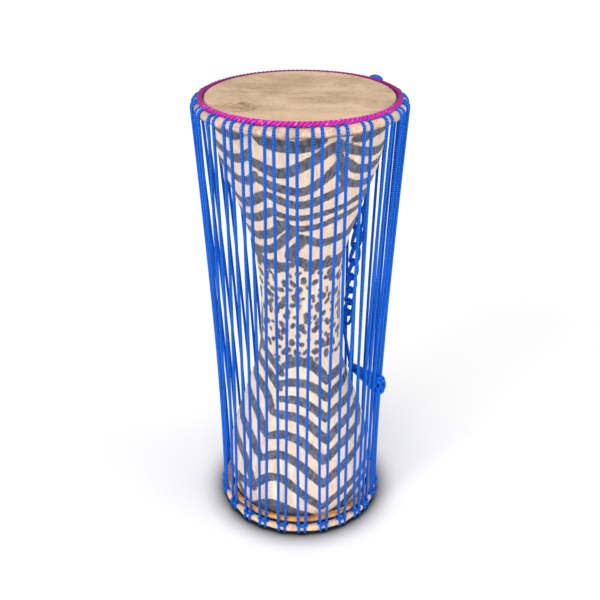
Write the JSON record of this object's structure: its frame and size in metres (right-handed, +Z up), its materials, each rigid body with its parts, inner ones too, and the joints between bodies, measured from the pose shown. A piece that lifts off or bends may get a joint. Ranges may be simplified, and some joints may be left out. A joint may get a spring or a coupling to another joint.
{
  "type": "talking drum",
  "caption": "Hourglass talking drum: a carved wooden shell with a skin at each end, laced hoop to hoop with cord that is squeezed under the arm to draw the upper hoop down and raise the pitch.",
  "frame": {"origin": "on the floor, on the drum's axis", "axes": "+Z up the drum's axis from foot to head, -Y towards the viewer of the picture, +X to the viewer's right"},
  "size_m": [0.2028, 0.203, 0.4608],
  "materials": {
    "shell_wood": "satin, with burnt stripes and spots",
    "skin": "dry rawhide",
    "hoop_cane": "bare cane",
    "amber_cane": "polished cane",
    "rope": "twisted yarn",
    "lacing": "braided cord"
  },
  "bodies": {
    "drum": {"shell": "shell_wood", "top_skin": "skin", "bottom_skin": "skin", "bottom_flesh_hoop": "hoop_cane", "bottom_skin_lap": "skin", "cane_ring": "amber_cane", "hoop_hitches": "lacing", "front_strands": "lacing", "back_strands": "lacing", "arm_side_upper": "lacing", "arm_side_lower": "lacing", "body_side_upper": "lacing", "body_side_lower": "lacing", "tail_chain": "lacing", "tail_plait": "lacing", "side_knot": "lacing"},
    "top_hoop": {"top_flesh_hoop": "hoop_cane", "top_skin_lap": "skin", "rope_ring": "rope", "top_bights": "lacing", "tail_knot": "lacing"},
    "arm_side": {"arm_side_middle": "lacing"},
    "body_side": {"body_side_middle": "lacing"}
  },
  "joints": [
    {"name": "arm_squeeze", "type": "slide", "parent": "drum", "child": "arm_side", "axis": [-1, 0, 0], "range_m": [0, 0.018], "stiffness_N_per_m": 3000, "deforming": ["arm_side_upper", "arm_side_lower"]},
    {"name": "body_squeeze", "type": "slide", "parent": "drum", "child": "body_side", "axis": [1, 0, 0], "range_m": [0, 0.018], "deforming": ["body_side_upper", "body_side_lower"]},
    {"name": "hoop_draw", "type": "slide", "parent": "drum", "child": "top_hoop", "axis": [0, 0, -1], "range_m": [0, 0.002], "deforming": ["front_strands", "back_strands", "tail_chain"]}
  ],
  "couplings": [
    {"joint": "body_squeeze", "follows": "arm_squeeze", "ratio": 1},
    {"joint": "hoop_draw", "follows": "arm_squeeze", "ratio": 0.1111}
  ]
}
